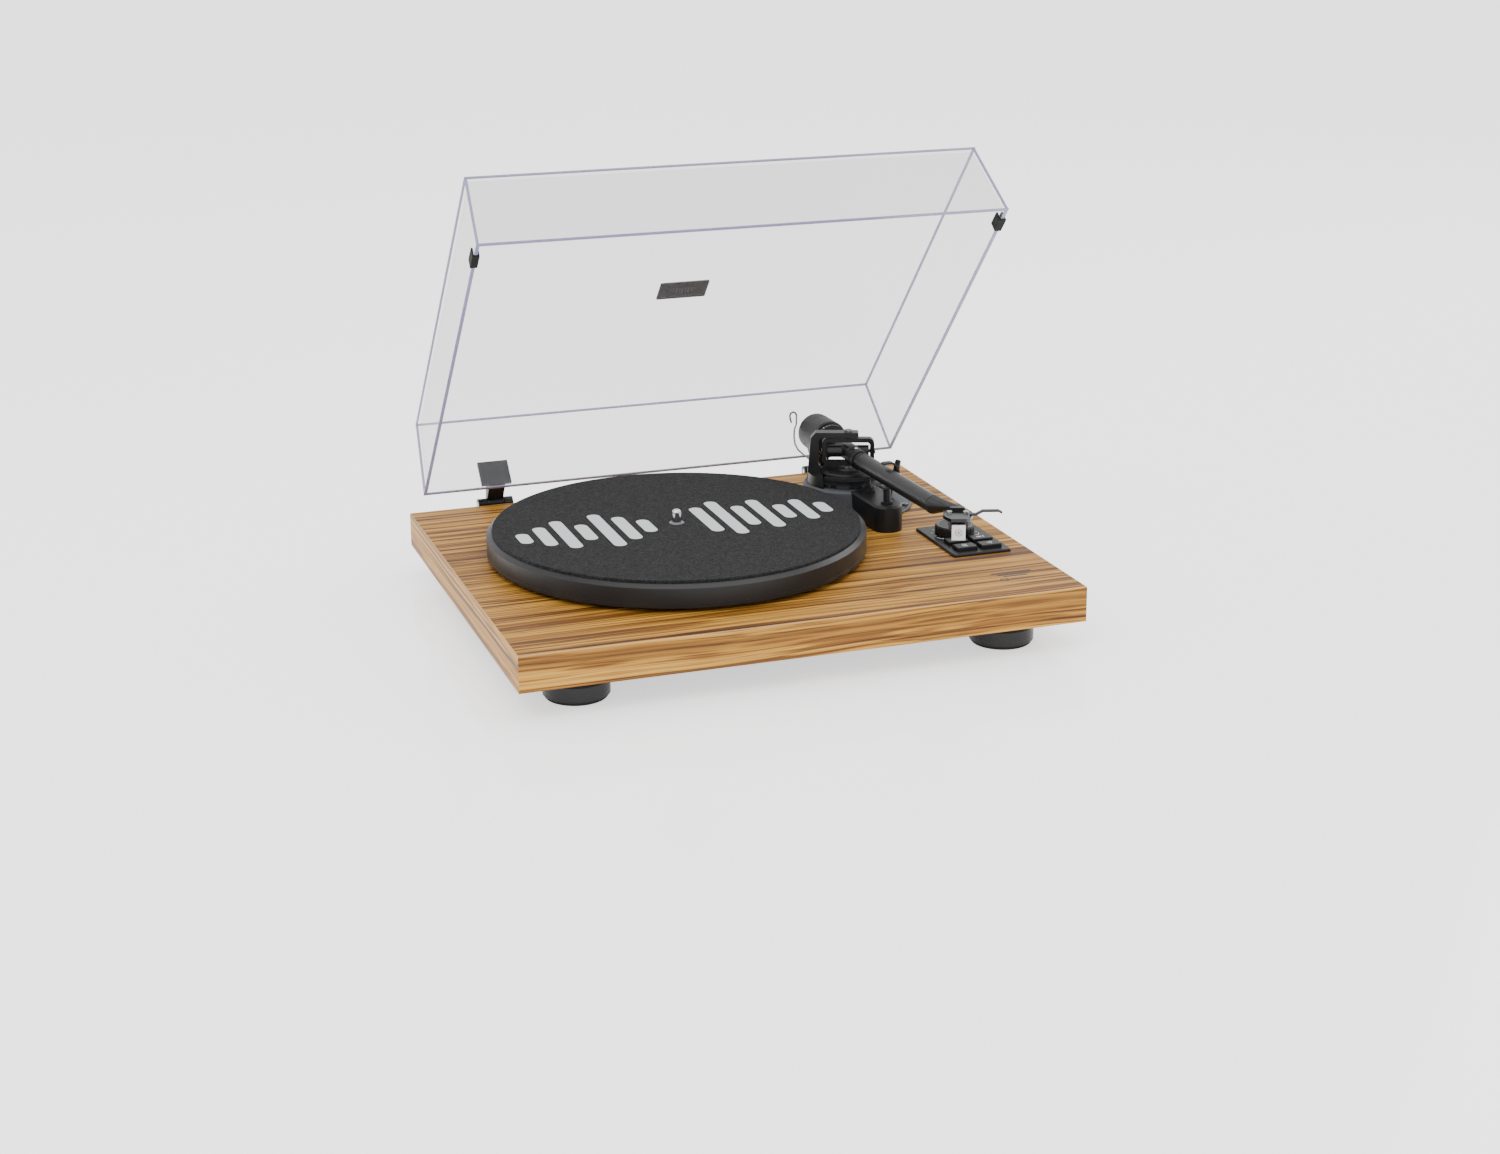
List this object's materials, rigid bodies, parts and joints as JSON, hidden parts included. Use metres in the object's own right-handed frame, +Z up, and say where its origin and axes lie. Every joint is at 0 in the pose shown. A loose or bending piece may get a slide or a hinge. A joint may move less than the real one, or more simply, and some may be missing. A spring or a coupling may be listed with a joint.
{
  "type": "turntable record player",
  "caption": "Belt-drive turntable on a wood-veneered plinth with a straight black tonearm, felt mat, push-button control panel and a hinged clear dust cover, shown open.",
  "frame": {"origin": "centre of the bounding box at the underside of the feet, cover open as in the rest pose", "axes": "+X to the right along the plinth's long side, +Y to the back where the cover is hinged, +Z up"},
  "size_m": [0.445, 0.4112, 0.3613],
  "materials": {
    "wood_foil": "oiled",
    "black_plastic": "satin",
    "black_gloss": "gloss",
    "black_metal": "satin",
    "felt": "matt",
    "steel": "satin",
    "chrome": "polished",
    "brass": "satin",
    "rubber": "matt",
    "clear_acrylic": "polished",
    "circuit_board": "satin",
    "alloy": "satin",
    "badge": "satin",
    "stylus_white": "gloss"
  },
  "bodies": {
    "chassis": {"plinth": "wood_foil", "base_pan": "black_plastic", "underside_screws": "steel", "foot_front_left": "black_plastic", "foot_rear_left": "black_plastic", "foot_front_right": "black_plastic", "foot_rear_right": "black_plastic", "foot_pads": "rubber", "bearing_housing": "alloy", "bearing_bushes": "brass", "thrust_ball": "steel", "motor_body": "steel", "drive_belt": "rubber", "arm_base_disc": "black_plastic", "arm_turret": "black_plastic", "arm_yoke": "black_plastic", "upper_pivot_screw": "chrome", "lower_pivot_post": "steel", "anti_skate_wire": "chrome", "cue_block": "black_plastic", "armrest_post": "black_plastic", "control_panel": "black_plastic", "control_board": "circuit_board", "main_board": "circuit_board", "rear_panel": "black_plastic", "rca_jacks": "brass", "dc_jack": "black_plastic", "hinge_base_left": "black_plastic", "hinge_base_right": "black_plastic", "hinge_pins": "steel", "deck_screws": "steel"},
    "platter": {"platter": "black_metal", "slip_mat": "felt", "spindle_shaft": "chrome"},
    "motor_rotor": {"motor_pulley": "brass"},
    "gimbal": {"gimbal_ring": "black_metal"},
    "tonearm": {"arm_pivot_block": "black_metal", "arm_tube": "black_metal", "headshell": "black_gloss", "headshell_screws": "steel", "finger_lift": "black_gloss", "cartridge_body": "black_gloss", "stylus_assembly": "stylus_white", "cartridge_leads": "rubber"},
    "weight": {"counterweight": "black_metal"},
    "dial": {"force_dial": "black_plastic"},
    "cue_lift": {"cue_piston": "black_plastic"},
    "cue_lever": {"cue_lever": "black_plastic"},
    "volume": {"volume_knob": "black_plastic"},
    "power_button": {"button_power": "black_plastic"},
    "source_button": {"button_source": "black_plastic"},
    "speed_button": {"button_speed": "black_plastic"},
    "pair_button": {"button_pair": "black_plastic"},
    "rocker": {"power_rocker": "black_plastic"},
    "cover": {"dust_cover": "clear_acrylic", "cover_badge": "badge", "cover_bumpers": "rubber", "hinge_arm_left": "black_plastic", "hinge_arm_right": "black_plastic"}
  },
  "joints": [
    {"name": "cover_hinge", "type": "hinge", "parent": "chassis", "child": "cover", "pos_m": [0, 0.17138, 0.05], "axis": [-1, 0, 0], "range_deg": [-47.4, 18]},
    {"name": "platter_spin", "type": "hinge", "parent": "chassis", "child": "platter", "pos_m": [-0.0435, -0.01262, 0.06], "axis": [0, 0, -1], "continuous": true},
    {"name": "motor_spin", "type": "hinge", "parent": "chassis", "child": "motor_rotor", "pos_m": [-0.12694, 0.07082, 0.06], "axis": [0, 0, -1], "continuous": true},
    {"name": "tonearm_yaw", "type": "hinge", "parent": "chassis", "child": "gimbal", "pos_m": [0.133, 0.06338, 0.0965], "axis": [0, 0, -1], "range_deg": [0, 54]},
    {"name": "tonearm_pitch", "type": "hinge", "parent": "gimbal", "child": "tonearm", "pos_m": [0.133, 0.06338, 0.0965], "axis": [-0.9336, 0.3584, 0], "range_deg": [-0.6, 2]},
    {"name": "counterweight_turn", "type": "hinge", "parent": "tonearm", "child": "weight", "pos_m": [0.1306, 0.11833, 0.0965], "axis": [0.0436, -0.999, 0], "range_deg": [-360, 360]},
    {"name": "force_dial_turn", "type": "hinge", "parent": "tonearm", "child": "dial", "pos_m": [0.13143, 0.09935, 0.0965], "axis": [0.0436, -0.999, 0], "range_deg": [-180, 180]},
    {"name": "cue_lever_turn", "type": "hinge", "parent": "chassis", "child": "cue_lever", "pos_m": [0.14974, 0.01457, 0.063], "axis": [0.999, 0.0436, 0], "range_deg": [0, 50]},
    {"name": "cue_lift_slide", "type": "slide", "parent": "chassis", "child": "cue_lift", "axis": [0, 0, 1], "range_m": [0, 0.003]},
    {"name": "volume_turn", "type": "hinge", "parent": "chassis", "child": "volume", "pos_m": [0.181, -0.05062, 0.056], "axis": [0, 0, -1], "range_deg": [-150, 150]},
    {"name": "rocker_tip", "type": "hinge", "parent": "chassis", "child": "rocker", "pos_m": [0.113, 0.16638, 0.036], "axis": [1, 0, 0], "range_deg": [-16, 0]},
    {"name": "power_button_press", "type": "slide", "parent": "chassis", "child": "power_button", "axis": [0, 0, -1], "range_m": [0, 0.0008], "stiffness_N_per_m": 400},
    {"name": "source_button_press", "type": "slide", "parent": "chassis", "child": "source_button", "axis": [0, 0, -1], "range_m": [0, 0.0008], "stiffness_N_per_m": 400},
    {"name": "speed_button_press", "type": "slide", "parent": "chassis", "child": "speed_button", "axis": [0, 0, -1], "range_m": [0, 0.0008], "stiffness_N_per_m": 400},
    {"name": "pair_button_press", "type": "slide", "parent": "chassis", "child": "pair_button", "axis": [0, 0, -1], "range_m": [0, 0.0008], "stiffness_N_per_m": 400}
  ],
  "couplings": [
    {"joint": "motor_spin", "follows": "platter_spin", "ratio": 11.345},
    {"joint": "cue_lever_turn", "follows": "cue_lift_slide", "rad_per_m": 290.8}
  ]
}
